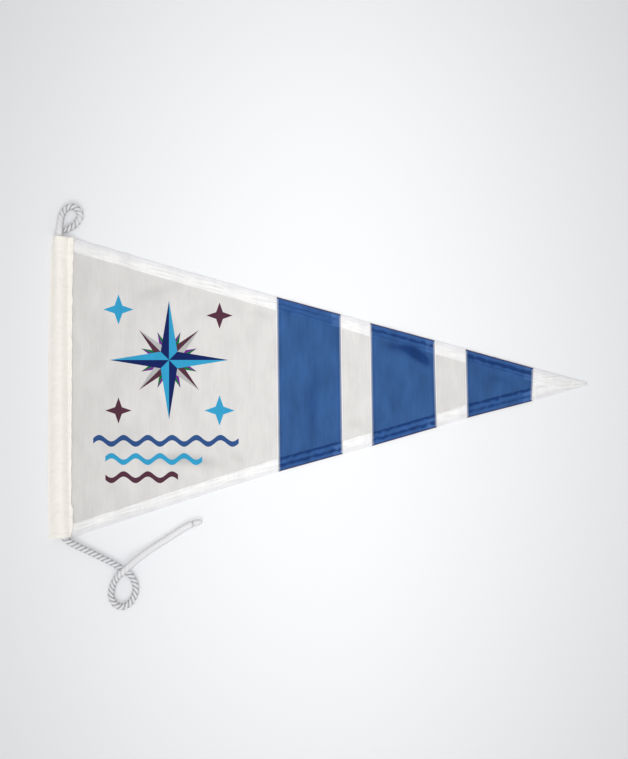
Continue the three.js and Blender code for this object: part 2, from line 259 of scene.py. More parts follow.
# Heading from bottom to top. ridge is where the rope lies under it, reach how far the canvas takes
# to come down to its sewn edge, crown and seat the height of its inner face there and at that edge,
# and ease how softly it comes down.
HEADING = table(
    ("y", "left", "right", "ridge", "reach", "crown", "seat", "ease"),
    [
        (-0.1500, -0.2654, -0.2436, -0.2492, 0.0074, 0.0092, 0.0050, 1.5),
        (-0.1456, -0.2654, -0.2429, -0.2517, 0.0076, 0.0091, 0.0043, 1.5),
        (-0.1452, -0.2654, -0.2428, -0.2519, 0.0076, 0.0091, 0.0042, 1.5),
        (-0.1380, -0.2657, -0.2418, -0.2531, 0.0080, 0.0090, 0.0039, 1.5),
        (-0.1310, -0.2662, -0.2416, -0.2532, 0.0080, 0.0090, 0.0039, 1.5),
        (-0.1290, -0.2664, -0.2416, -0.2532, 0.0080, 0.0090, 0.0029, 1.5),
        (-0.1220, -0.2669, -0.2417, -0.2533, 0.0080, 0.0090, 0.0029, 1.5),
        (-0.1180, -0.2670, -0.2433, -0.2534, 0.0080, 0.0090, 0.0029, 1.5),
        (-0.0630, -0.2670, -0.2431, -0.2540, 0.0080, 0.0090, 0.0029, 1.5),
        (0.0000, -0.2666, -0.2427, -0.2545, 0.0080, 0.0090, 0.0029, 1.5),
        (0.0600, -0.2658, -0.2425, -0.2547, 0.0080, 0.0090, 0.0029, 1.5),
        (0.1120, -0.2642, -0.2420, -0.2548, 0.0080, 0.0090, 0.0029, 1.5),
        (0.1280, -0.2636, -0.2414, -0.2549, 0.0080, 0.0090, 0.0029, 1.5),
        (0.1300, -0.2635, -0.2413, -0.2549, 0.0080, 0.0090, 0.0039, 1.5),
        (0.1390, -0.2632, -0.2410, -0.2549, 0.0080, 0.0093, 0.0039, 1.1),
        (0.1452, -0.2626, -0.2409, -0.2549, 0.0080, 0.0102, 0.0039, 0.7),
        (0.1456, -0.2625, -0.2409, -0.2549, 0.0080, 0.0102, 0.0039, 0.7),
        (0.1500, -0.2620, -0.2408, -0.2549, 0.0080, 0.0108, 0.0039, 0.7),
    ],
)

# Half the heading's height, how much shorter its sewn side is at each end, and its fold's radius
HEADING_TOP = 0.150
HEADING_LEAN = 2.2 * MM
FOLD_RADIUS = 1.15 * MM

# Turned-in strip at both ends of the heading: its depth, how soon it steps down, how high it is, and
# the width and depth of the groove beside it
TURNED_IN = 4.6 * MM
TURNED_IN_EDGE = 0.3 * MM
TURNED_IN_RISE = 0.45 * MM
TURNED_IN_GROOVE = (0.5 * MM, 0.1 * MM)

# Points of the heading: rows from its ends and the pitch between them, and for one section the points
# under the rope, round the fold and over the rope with those at the sewn edge, and the column that
# the stitches lie on
HEADING_ROWS = np.array([0, 0.15, 0.4, 0.8, 1.3, 3.9, 4.3, 4.6, 4.9, 5.3]) * MM
HEADING_PITCH = 1.2 * MM
UNDER_POINTS = 13
FOLD_POINTS = 9
OVER_POINTS = 44
SEWN_POINTS = (0.955, 0.97, 0.985, 1.0)
SEWN_COLUMN = -7

# The canvas over the rope: most that a slope thickens it, distances over which its swell starts at
# the fold and ends at the sewn edge, how much of it the inner face has, the pressed row of stitches
# with its place, width and depth, and how round its sewn edge and its ends are, as reach and drop
STEEPEST = 1.8
SWELL_START = 3 * MM
SWELL_END = 2 * MM
SWELL_INNER = 0.5
SEWN_TROUGH = (2.2 * MM, 1.0 * MM, 0.07 * MM)
SEWN_ROUND = (0.4 * MM, 0.35 * MM)
END_ROUND = (0.5 * MM, 0.4 * MM)

# Route of the rope's middle: the eye from its tucked end, the stretch inside the heading, the tail
ROPE_ROUTE = [
    (-0.2546, 0.1538, 0.0015),
    (-0.2520, 0.1544, 0.0021),
    (-0.2485, 0.1555, 0.0031),
    (-0.2440, 0.1577, 0.0036),
    (-0.2393, 0.1611, 0.0036),
    (-0.2355, 0.1662, 0.0036),
    (-0.2349, 0.1719, 0.0036),
    (-0.2383, 0.1769, 0.0036),
    (-0.2434, 0.1785, 0.0036),
    (-0.2486, 0.1763, 0.0036),
    (-0.2524, 0.1711, 0.0040),
    (-0.2542, 0.1646, 0.0055),
    (-0.2549, 0.1544, 0.0073),
    (-0.2549, 0.1478, 0.0061),
    (-0.2549, 0.1413, 0.0049),
    (-0.2549, 0.1299, 0.0048),
    (-0.2545, -0.0027, 0.0048),
    (-0.2537, -0.1116, 0.0048),
    (-0.2531, -0.1370, 0.0048),
    (-0.2522, -0.1438, 0.0048),
    (-0.2496, -0.1493, 0.0048),
    (-0.2450, -0.1530, 0.0046),
    (-0.2361, -0.1576, 0.0039),
    (-0.2174, -0.1665, 0.0036),
    (-0.1958, -0.1779, 0.0036),
    (-0.1843, -0.1865, 0.0036),
    (-0.1797, -0.1973, 0.0036),
    (-0.1815, -0.2072, 0.0036),
    (-0.1862, -0.2139, 0.0036),
    (-0.1935, -0.2171, 0.0036),
    (-0.2003, -0.2142, 0.0036),
    (-0.2039, -0.2069, 0.0036),
    (-0.2030, -0.1983, 0.0042),
    (-0.1983, -0.1886, 0.0076),
    (-0.1899, -0.1802, 0.0113),
    (-0.1791, -0.1706, 0.0084),
    (-0.1646, -0.1599, 0.0044),
    (-0.1491, -0.1502, 0.0036),
    (-0.1272, -0.1366, 0.0036),
    (-0.1139, -0.1323, 0.0036),
]

# Pitch of the rope's rings, points in a span of its route, its strands and the points round each
ROPE_PITCH = 0.7 * MM
SPAN_POINTS = 60
STRANDS = 3
STRAND_SIDES = 14

# How far out a strand's middle lies in the rope's radius, how much closer it lies where the rope is
# worn, how much fainter the painted shade in the grooves is there, and how narrow that shade is. Grey
# painted shade also darkens its sides and the drawn-in ring near its end.
STRAND_OUT = 0.4
WORN_IN = 0.3
WORN_GROOVE_SHADE = 0.95
GROOVE_SHADE_POWER = 3.2
SIDE_SHADE_POWER = 4
SIDE_SHADE_SHARE = 0.42
RING_SHADE_PLACE = (9.5 * MM, 0.8 * MM)
RING_SHADE_SHARE = 0.8

# How worn the strands are and how thick the rope is, by the distance from its tucked end at the eye
# and from its sealed end at the tail, which has a drawn-in ring
EYE = table(
    ("along", "worn", "thick"),
    [
        (0.000, 0.0, 0.42),
        (0.003, 0.0, 0.54),
        (0.007, 0.0, 0.88),
        (0.010, 0.0, 1.0),
        (0.017, 0.0, 1.0),
        (0.022, 0.6, 1.0),
        (0.030, 0.6, 1.0),
        (0.034, 0.1, 1.0),
        (0.050, 0.15, 1.0),
        (0.057, 0.7, 1.0),
        (0.062, 1.0, 1.0),
        (0.085, 1.0, 1.0),
        (0.100, 0.0, 1.0),
    ],
)
TAIL = table(
    ("along", "worn", "thick"),
    [
        (0.0000, 0.9, 0.38),
        (0.0015, 0.9, 0.62),
        (0.0040, 0.9, 0.86),
        (0.0075, 0.9, 0.96),
        (0.0090, 0.9, 0.76),
        (0.0100, 0.9, 0.76),
        (0.0115, 1.0, 1.0),
        (0.0850, 1.0, 1.0),
        (0.1050, 0.0, 1.0),
    ],
)

# Printed design. waist is where a star's sides meet between its points, as a share of its reach.
STAR_COLUMNS = ("x", "y", "turn", "reach", "waist", "light", "dark")
STARS = [
    (-0.147, 0.027, 22.5, 0.030, 0.20, "green", "violet"),
    (-0.147, 0.027, 67.5, 0.030, 0.20, "green", "violet"),
    (-0.147, 0.027, 45.0, 0.042, 0.17, "grey", "maroon"),
    (-0.147, 0.027, 0.0, 0.059, 0.14, "light_blue", "navy"),
    (-0.197, 0.077, 0.0, 0.015, 0.26, "light_blue", "light_blue"),
    (-0.097, 0.071, 0.0, 0.013, 0.26, "maroon", "maroon"),
    (-0.197, -0.023, 0.0, 0.013, 0.26, "maroon", "maroon"),
    (-0.097, -0.023, 0.0, 0.015, 0.26, "light_blue", "light_blue"),
]

# Printed waves, from the top, with the pitch, rise and width of their line
WAVE_COLUMNS = ("x", "y", "length", "ink")
WAVES = [
    (-0.150, -0.053, 0.144, "deep_blue"),
    (-0.162, -0.071, 0.096, "light_blue"),
    (-0.174, -0.089, 0.072, "maroon"),
]
WAVE_PITCH = 24 * MM
WAVE_RISE = 3.2 * MM
WAVE_WIDTH = 5.4 * MM

# Uneven tones of each finish: size of the grains on each axis, how deep the tone goes and its detail
BLOTCHES = {
    "white": ((16 * MM, 35 * MM, 16 * MM), 0.26, 4),
    "blue": ((16 * MM, 35 * MM, 16 * MM), 0.85, 4),
}
STREAKS = {
    "white": ((1.6 * MM, 19 * MM, 1.6 * MM), 0.12, 2),
    "blue": ((1.6 * MM, 19 * MM, 1.6 * MM), 0.26, 2),
}
CANVAS_BLOTCHES = ((16 * MM, 24 * MM, 16 * MM), 0.08, 4)
CANVAS_SLUBS = ((5.4 * MM, 0.9 * MM, 0.9 * MM), 0.1, 2)
THREAD_FUZZ = ((0.25 * MM, 0.25 * MM, 0.25 * MM), 0.2, 2)
FLOOR_GRAIN = ((0.3, 0.3, 0.3), 0.02, 2)

# Grains of the rope in turns round it and metres along it, its yarns round it, and the turns that
# they slant by in a metre
ROPE_FUZZ = ((1 / 60, 2.5 * MM, 1), 0.12, 2)
YARNS = 24
YARN_SLANT = 60

# Pitches of the knit's wales and courses and of the canvas's threads. Real ones are about half of
# these, finer than the picture can show, so they are drawn coarser.
WALES = 0.8 * MM
COURSES = 0.6 * MM
CANVAS_THREADS = 0.7 * MM

# How high the second of two patterns is beside the first, and how deep each relief is
COURSE_SHARE = 0.4
STREAK_SHARE = 1.5
SLUB_SHARE = 3.0
FUZZ_SHARE = 1.5
KNIT_DEPTH = 0.03 * MM
CANVAS_DEPTH = 0.05 * MM
ROPE_DEPTH = 0.06 * MM

# Camera square to the face, over the middle of the photo's view, and the height that it takes in
CAMERA_PLACE = (-3.5 * MM, 7.7 * MM)
CAMERA_LENS = 105
SENSOR = 36
VIEW_HEIGHT = 0.7514
FLOOR_REACH = 4.0

# A large weak lamp above the near edge, and a soft spot overhead whose pool of light is narrower
# across than up
KEY_PLACE = (-0.4, -2.2, 2.9)
KEY_SIZE = 1.6
POOL_PLACE = (0.0, 0.03, 3.0)
POOL_SHAPE = (0.56, 1, 1)
POOL_SPREAD = 29
POOL_SOFTNESS = 0.3


def linear(hex_colour):
    """Linear colour of an sRGB hex value."""
    parts = np.array([int(hex_colour[i : i + 2], 16) / 255 for i in (1, 3, 5)])
    return tuple(np.where(parts <= 0.04045, parts / 12.92, ((parts + 0.055) / 1.055) ** 2.4))


def length(name, description, default):
    """A property that holds a size in metres."""
    return bpy.props.FloatProperty(
        name=name, description=description, default=default, min=0, unit="LENGTH", precision=5
    )


def colour(name, description, hex_colour):
    """A property that holds a colour."""
    return bpy.props.FloatVectorProperty(
        name=name, description=description, default=linear(hex_colour), subtype="COLOR", size=3
    )


class PennantCloth(bpy.types.PropertyGroup):
    """Sizes and colours of the sewn bands"""

    thickness: length("Cloth thickness", "One layer of bunting as drawn", 0.6 * MM)
    hem_width: length("Hem width", "Width of the turned hem along both long edges", 13 * MM)
    hem_rise: length("Hem rise", "How much thicker the cloth is in a hem", 0.9 * MM)
    stitch: length("Stitch length", "Length of a lockstitch", 3 * MM)
    zigzag: length("Zigzag pitch", "Distance from one leg of a zigzag to the next", 1.0 * MM)
    thread: length("Thread width", "Thickness of the sewing thread", 0.3 * MM)
    white: colour("White", "One layer of white bunting", "#DAD8D6")
    white_doubled: colour("White doubled", "White bunting in its hems", "#F6F5F5")
    # Painted shade along stitches, in puckers, in fold creases and beside seams
    white_crease: colour("White crease", "White bunting where it is drawn in", "#BDBDBB")
    # Painted shade along the white hems' outer fold
    white_rim: colour("White rim", "Outer fold of the white hems", "#E2E1E4")
    white_under: colour("White over blue", "White hem with a neighbour's cloth beneath", "#EDEDF0")
    white_thread: colour("White thread", "Sewing thread of the white hems and the seams", "#F2F2F0")
    blue: colour("Blue", "One layer of blue bunting", "#32588D")
    blue_doubled: colour("Blue doubled", "Blue bunting in its hems", "#345C96")
    # Painted shade along stitches, in puckers, in fold creases and beside seams
    blue_crease: colour("Blue crease", "Blue bunting where it is drawn in", "#08306A")
    blue_rim: colour("Blue rim", "Outer fold of the blue hems", "#3A2140")
    blue_under: colour("Blue over white", "Blue hem with a neighbour's cloth beneath", "#5078B4")
    blue_thread: colour("Blue thread", "Sewing thread of the blue hems", "#1E3F78")


class PennantHeading(bpy.types.PropertyGroup):
    """Sizes and colours of the canvas heading"""

    thickness: length("Canvas thickness", "Thickness of the canvas as drawn", 0.9 * MM)
    canvas: colour("Canvas", "Off-white cotton canvas", "#FFFBF3")


class PennantRope(bpy.types.PropertyGroup):
    """Sizes and colours of the laid rope"""

    diameter: length("Rope diameter", "Across the crests of the strands", 7 * MM)
    lay: length("Lay length", "Distance in which a strand goes once round", 14.2 * MM)
    fibre: colour("Rope", "White polyester fibre", "#F2F2F4")
    # Painted shade: the colour in the grooves between the strands, at the rope's sides and in the ring
    # near the tail's end
    rope_shade: colour("Rope grooves", "Fibre in the grooves between the strands", "#B2B2B6")


class PennantPrint(bpy.types.PropertyGroup):
    """Inks of the printed design"""

    light_blue: colour("Light blue", "Ink of the star's light halves", "#329DC9")
    navy: colour("Navy", "Ink of the star's dark halves", "#0D1F5C")
    maroon: colour("Maroon", "Ink of the small stars", "#532E3E")
    violet: colour("Violet", "Ink of the inner points", "#6E268A")
    green: colour("Green", "Ink of the inner points", "#006E37")
    grey: colour("Grey", "Ink of the slanted points", "#B4B4B4")
    deep_blue: colour("Deep blue", "Ink of the upper wave", "#2D5087")


class PennantStage(bpy.types.PropertyGroup):
    """Floor and light"""

    floor: colour("Floor", "Plain pale floor", "#F0F1F3")
    ambient: bpy.props.FloatProperty(
        name="Ambient", description="Strength of the even light", default=0.52, min=0
    )
    key: bpy.props.FloatProperty(
        name="Key", description="Power of the key light", default=26, min=0, unit="POWER"
    )
    pool: bpy.props.FloatProperty(
        name="Pool", description="Power of the overhead light", default=188, min=0, unit="POWER"
    )


def smoothstep(low, high, value):
    """0 below low, 1 above high, and an S curve between them."""
    share = np.clip((value - low) / (high - low), 0, 1)
    return share * share * (3 - 2 * share)


def bump(value, centre, width):
    """A bell of height 1 at the centre."""
    return np.exp(-(((value - centre) / width) ** 2))


def rounding(distance, reach, drop):
    """How far a round edge lies below its flat: drop (1 - distance / reach)^2 within its reach."""
    return drop * (1 - np.clip(distance / reach, 0, 1)) ** 2


def ripple(kind, number, x, y=0.0):
    """Uneven waves of a kind: the sum of a few slanted sine waves of about its two lengths, each with
    a seeded slant and phase, times its rise over the root of their number."""
    long_x, long_y, rise, seed = RIPPLES[kind]
    random = np.random.default_rng(seed + number)
    total = np.zeros(np.broadcast(x, y).shape)
    for _ in range(RIPPLE_WAVES):
        across, along = random.normal(1, RIPPLE_SPREAD), random.normal(0, 1)
        total += np.sin(TURN * (across * x / long_x + along * y / long_y + random.uniform()))
    return rise * total / math.sqrt(RIPPLE_WAVES)


def edge(side, x):
    """Height in the plane of the top or bottom edge."""
    return np.interp(x, EDGES["x"], EDGES[side])


def height_at(x):
    """Distance between the bottom and the top edge."""
    return edge("top", x) - edge("bottom", x)


def border(index, y):
    """Place of a band's side at a height in the plane: straight from its bottom to its top end."""
    top_x, bottom_x = BORDERS["top_x"][index], BORDERS["bottom_x"][index]
    middle = (top_x + bottom_x) / 2
    return middle + (top_x - bottom_x) * ((y - edge("bottom", middle)) / height_at(middle) - 0.5)


def hem_width(x, cloth):
    """Width of the hem, which takes at most a share of a narrow band's height."""
    return np.minimum(cloth.hem_width, height_at(x) * HEM_SHARE)


def cloth_lift(x, y):
    """Height of the cloth's underside and the painted shade of its folds' creases. It comes down from
    its seat in the heading, and each soft fold adds height times (1 - s^2)^2 (1 - t^2)^2, s along its
    spine and t across it, and painted crease shade as a bell in t a little behind the spine."""
    lift = SEAT_HEIGHT * (1 - smoothstep(SEAT_END, SURFACE_START, x))
    fold_shade = np.zeros_like(lift)
    for fold in zip(*FOLDS.values()):
        fold_x, fold_y, long, wide, turn, bow, height, fold_shade_depth = fold
        cosine, sine = math.cos(math.radians(turn)), math.sin(math.radians(turn))
        s = ((x - fold_x) * cosine + (y - fold_y) * sine) / long
        t = ((y - fold_y) * cosine - (x - fold_x) * sine + bow * s * s) / wide
        along = np.clip(1 - s * s, 0, 1) ** 2
        lift = lift + height * along * np.clip(1 - t * t, 0, 1) ** 2
        fold_shade = fold_shade + fold_shade_depth * along * bump(t, *FOLD_SHADE_PLACE)
    return lift, fold_shade


def stitch_lines(index, x, away, narrow):
    """How far a band's rows of stitches press the cloth down, and the painted shade where they draw it
    in: a bell across each row, uneven along it. away is the distance from each long edge, and narrow
    how much of its full width the hem has."""
    pressed, drawn = np.zeros_like(x), np.zeros_like(x)
    for side, rows in STITCH_ROWS.items():
        for row, stitch_shade in zip(rows, STITCH_SHADES[side][index]):
            number = index + round(row / MM)
            line = row * narrow + ripple("stitch_line", number, x)
            dashes = np.clip(DRAWN_SHADE_SHARE + ripple("stitch_shade_dashes", number, x), DRAWN_SHADE_LEAST, 1)
            pressed = pressed + bump(away[side], row * narrow, HEM_TROUGH[0])
            drawn = drawn + stitch_shade * dashes * bump(away[side], line, DRAWN_SHADE_WIDTH)
    return pressed, drawn


def band_shape(index, x, y, cloth):
    """Upper and lower height of a band at points x, y, and the shares that its finish reads: doubled
    in hems and at folded edges, under where a neighbour lies beneath, crease shade for the painted
    shade along the stitches, in the hems' puckers, in the folds' creases and beside the seams, and rim
    at the outer fold, painted shade on the white cloth. The upper height is the lower one plus one
    layer, the hem, the stitched troughs and fine puckers."""
    tint = BANDS[index][1]
    away = {"top": edge("top", x) - y, "bottom": y - edge("bottom", x)}
    hem = hem_width(x, cloth)
    narrow = hem / cloth.hem_width
    from_edge = np.minimum(away["top"], away["bottom"])
    from_left = x - border(index, y) if index > 0 else FAR
    from_right = border(index + 1, y) - x if index < LAST_BAND else FAR
    from_seam = np.minimum(from_left, from_right)
    in_hem = 1 - smoothstep(hem + HEM_EDGE[0], hem + HEM_EDGE[1] * narrow, from_edge)
    across = from_edge
    if index == LAST_BAND:
        in_hem, across = np.ones_like(from_edge), y
    if tint == "blue":
        lapped, folded = np.zeros_like(from_seam), np.zeros_like(from_seam)
        hem_layers = in_hem * smoothstep(*BLUE_START, from_seam)
        seam_line = bump(from_seam, SEAM_TROUGH_AT, SEAM_TROUGH[0])
        rim = bump(from_edge, 0, BLUE_RIM)
        from_rim = np.minimum(from_edge, from_seam + LAP)
    else:
        lapped, folded = 1 - smoothstep(*LAP_EDGE, from_seam), 1 - smoothstep(*WHITE_FOLD, from_seam)
        hem_layers = in_hem * (1 - LAPPED_HEM * lapped)
        seam_line = np.zeros_like(from_seam)
        # Painted shade in a strip along the white hem's outer fold
        rim = WHITE_RIM_SHADE_SHARE * (1 - smoothstep(*WHITE_RIM_SHADE, from_edge / narrow))
        from_rim = np.minimum(from_edge, from_seam)
    if index == LAST_BAND:
        from_rim = np.minimum(from_rim, np.abs(EDGES["x"][-1] - x))

    lift, fold_shade = cloth_lift(x, y)
    pressed, drawn = stitch_lines(index, x, away, narrow)
    lower = lift + lapped * (cloth.thickness + LAP_CLEARANCE)
    roll_at, roll_width, roll_height = ROLL
    upper = lower + cloth.thickness + cloth.hem_rise * hem_layers
    upper = upper + roll_height * bump(from_seam, roll_at, roll_width) * lapped
    beside = np.exp(-np.clip(from_edge - hem, 0, None) / DRAWN_REACH)
    uneven = ripple("drawn", index, x, y) * beside + ripple("ribs", index, x, y)
    uneven = ripple("pucker", index, x, across) * in_hem + uneven * (1 - in_hem)
    beat = 1 - TROUGH_BEAT * (1 - np.cos(TURN * x / cloth.stitch))
    upper = upper + smoothstep(*CALM_EDGE, from_seam) * uneven
    upper = upper - HEM_TROUGH[1] * pressed * in_hem * beat - SEAM_TROUGH[1] * seam_line * (1 - in_hem)

    curve = np.sqrt(1 - (1 - np.clip(from_rim / EDGE_RADIUS, 0, 1)) ** 2)
    half = (upper - lower) / 2 * (EDGE_FLAT + (1 - EDGE_FLAT) * curve)
    # Painted shade: streaks where the hems pucker, lines along the stitches and beside the seams, and
    # the folds' creases
    streaks = np.clip(ripple("streaks", index, x, across), 0, 1) * in_hem
    drawn = drawn * in_hem + HEM_STREAK_SHADE[tint] * streaks
    seam_shade = SEAM_SHADE_SHARE * seam_line * (1 - in_hem / 2)
    return {
        "upper": (upper + lower) / 2 + half,
        "lower": (upper + lower) / 2 - half,
        "doubled": np.maximum(in_hem, folded),
        "under": UNDER_SHARE * in_hem * (1 - smoothstep(*UNDER_EDGE, from_right)),
        "crease": CREASE_SHADE_SHARE * np.clip(seam_shade + drawn + fold_shade, 0, 1),
        "rim": rim,
    }


def even_steps(start, end, pitch):
    """Even places between start and end, without them, about a pitch apart."""
    count = max(round((end - start) / pitch), 2)
    return np.linspace(start, end, count + 1)[1:-1]


def band_grid(index):
    """Points of a band as rows from its bottom edge and columns from its left side: fine in the
    hems and beside the seams, even between them, all leaning as the band's sides do."""
    _, tint, pitch = BANDS[index]
    middle = (BORDERS["top_x"] + BORDERS["bottom_x"]) / 2
    lean = BORDERS["top_x"] - BORDERS["bottom_x"]
    left, right = middle[index], middle[index + 1]
    fine_left, fine_right = left + SEAM_COLUMNS, right - SEAM_COLUMNS[::-1]
    columns = [fine_left, even_steps(fine_left[-1], fine_right[0], pitch), fine_right]
    if tint == "blue":
        lap = np.linspace(0, LAP, LAP_COLUMNS)[1:]
        columns = [left - lap[::-1], *columns, right + lap]
    straight = np.concatenate(columns)
    count = max(int(height_at(straight).max() / pitch) - len(HEM_ROWS), FEWEST_ROWS)

    # A row's distance from the bottom edge is a sum of shares of the height, the hem and the step
    hem_share = np.concatenate([HEM_ROWS / HEM_ROWS[-1], np.ones_like(STEP_ROWS)])
    step_share = np.concatenate([np.zeros_like(HEM_ROWS), STEP_ROWS / STEP_ROWS[-1]])
    share = np.arange(1, count) / count
    inner = 1 - 2 * share
    of_height = np.concatenate([0 * hem_share, share, 0 * hem_share + 1])[:, None]
    of_hem = np.concatenate([hem_share, inner, -hem_share[::-1]])[:, None]
    of_step = np.concatenate([step_share, inner, -step_share[::-1]])[:, None]

    def rows_at(x):
        tall = height_at(x)
        hem = np.minimum(HEM_ROWS[-1], tall * ROWS_SHARE)
        step = np.minimum(STEP_ROWS[-1], tall * STEP_SHARE)
        return of_height * tall + of_hem * hem + of_step * step

    up = rows_at(straight) / height_at(straight) - 0.5
    x = straight + np.interp(straight, middle, lean) * up
    return x, edge("bottom", x) + rows_at(x)


def mesh_object(name, points, faces, attributes=None, corner_uv=None):
    """A smooth mesh from its points and faces, with values for each point or face corner."""
    mesh = bpy.data.meshes.new(name)
    mesh.from_pydata(points.reshape(-1, 3).tolist(), [], faces)
    for key, values in (attributes or {}).items():
        layer = mesh.attributes.new(key, "FLOAT", "POINT")
        layer.data.foreach_set("value", np.asarray(values, np.float32).ravel())
    if corner_uv is not None:
        mesh.uv_layers.new(name="UVMap").data.foreach_set("uv", corner_uv.astype(np.float32).ravel())
    mesh.polygons.foreach_set("use_smooth", np.ones(len(mesh.polygons), bool))
    mesh.update()
    made = bpy.data.objects.new(name, mesh)
    bpy.context.scene.collection.objects.link(made)
    return made


def closed_sheet(name, upper, lower, attributes=None):
    """A closed mesh between an upper and a lower grid of points, both rows by columns by three: the
    upper grid's quads, the lower grid's turned over, and a wall of quads round the rim."""
    rows, columns = upper.shape[:2]
    number = np.arange(rows * columns).reshape(rows, columns)
    a, b, c, d = number[:-1, :-1], number[:-1, 1:], number[1:, 1:], number[1:, :-1]
    top = np.stack([a, b, c, d], axis=-1).reshape(-1, 4)
    under = rows * columns + top[:, ::-1]
    rim = np.concatenate([number[0, :-1], number[:-1, -1], number[-1, :0:-1], number[:0:-1, 0]])
    ahead = np.roll(rim, -1)
    wall = np.stack([rim + rows * columns, ahead + rows * columns, ahead, rim], axis=1)
    faces = np.concatenate([top, under, wall]).tolist()
    points = np.concatenate([upper.reshape(-1, 3), lower.reshape(-1, 3)])
    doubled = {key: np.tile(values.ravel(), 2) for key, values in (attributes or {}).items()}
    return mesh_object(name, points, faces, doubled)


def tubes(name, centres, radius, angle, attributes=None, uv=None):
    """Closed tubes: centres is tubes by rings by three, and radius and angle, tubes by rings by
    sides, place each ring's points in the plane square to its path: radius cos a to its side and
    radius sin a upwards."""
    ahead = np.gradient(centres, axis=1)
    ahead /= np.linalg.norm(ahead, axis=2, keepdims=True)
    aside = np.cross((0, 0, 1), ahead)
    aside /= np.linalg.norm(aside, axis=2, keepdims=True)
    above = np.cross(ahead, aside)
    out, up = (radius * np.cos(angle))[..., None], (radius * np.sin(angle))[..., None]
    points = centres[:, :, None] + out * aside[:, :, None] + up * above[:, :, None]
    number = np.arange(radius.size).reshape(radius.shape)
    beside = np.roll(number, -1, axis=2)
    skin = np.stack([number[:, :-1], beside[:, :-1], beside[:, 1:], number[:, 1:]], axis=-1)
    faces = skin.reshape(-1, 4).tolist() + number[:, 0, ::-1].tolist() + number[:, -1].tolist()
    return mesh_object(name, points, faces, attributes, uv)


def threads(name, centres, width):
    """Sewing thread as short closed tubes that thin at their ends."""
    thin = np.ones(centres.shape[1])
    thin[[0, -1]] = THREAD_END
    radius = np.broadcast_to(width / 2 * thin[:, None], (*centres.shape[:2], THREAD_SIDES))
    angle = np.broadcast_to(TURN * np.arange(THREAD_SIDES) / THREAD_SIDES, radius.shape)
    return tubes(name, centres, radius, angle)


def hem_stitches(index, cloth):
    """Middle lines of a band's hem stitches: each is a short line along its row, whose ends dip
    into the cloth."""
    low = BORDERS["top_x"][index] + STITCH_END if index else HEADING["right"].max() + STITCH_END / 2
    high = BORDERS["top_x"][index + 1] - (STITCH_END if index < LAST_BAND else STITCH_TIP)
    x = np.arange(low, high - cloth.stitch, cloth.stitch)[:, None] + STITCH_SHARES * cloth.stitch
    narrow = hem_width(x, cloth) / cloth.hem_width
    found = []
    for side, sign in (("top", -1), ("bottom", 1)):
        for row in STITCH_ROWS[side]:
            y = edge(side, x) + sign * row * narrow
            z = band_shape(index, x, y, cloth)["upper"] + STITCH_RISE
            found.append(np.stack([x, y, z], axis=-1))
    return np.concatenate(found)


def seam_stitches(index, cloth):
    """Middle lines of the zigzag at a band's left side: each leg runs from the white cloth over its
    folded edge onto the blue cloth, and the next comes back."""
    middle = (BORDERS["top_x"][index] + BORDERS["bottom_x"][index]) / 2
    low, high = edge("bottom", middle) + ZIGZAG_END, edge("top", middle) - ZIGZAG_END
    starts = np.arange(low, high - cloth.zigzag, cloth.zigzag)
    white_first = BANDS[index - 1][1] == "white"
    white, blue = (index - 1, index) if white_first else (index, index - 1)
    share = (ZIGZAG_ACROSS - ZIGZAG_ACROSS[0]) / np.ptp(ZIGZAG_ACROSS)
    forth = np.arange(len(starts))[:, None] % 2 == 0
    y = starts[:, None] + np.where(forth, share, 1 - share) * cloth.zigzag
    x = border(index, y) + (ZIGZAG_ACROSS if white_first else -ZIGZAG_ACROSS)
    on_white = band_shape(white, x, y, cloth)["upper"]
    on_blue = band_shape(blue, x, y, cloth)["upper"]
    z = np.where(ZIGZAG_ACROSS < 0, on_white, on_blue) + ZIGZAG_RISE
    z[:, ZIGZAG_FOLD] = (z[:, ZIGZAG_FOLD - 1] + z[:, ZIGZAG_FOLD + 1]) / 2
    return np.stack([x, y, z], axis=-1)


def heading_inner(row, x):
    """Height of the canvas's inner face: foot + (crown - foot) (1 - share^2)^ease, share being the
    distance from the ridge over the reach on that side."""
    right_side = x > row["ridge"]
    reach = np.where(right_side, row["reach"], row["ridge"] - row["left"] - FOLD_RADIUS)
    foot = np.where(right_side, row["seat"], SEAT_HEIGHT)
    share = np.clip(np.abs(x - row["ridge"]) / reach, 0, 1)
    return foot + (row["crown"] - foot) * (1 - share * share) ** row["ease"]


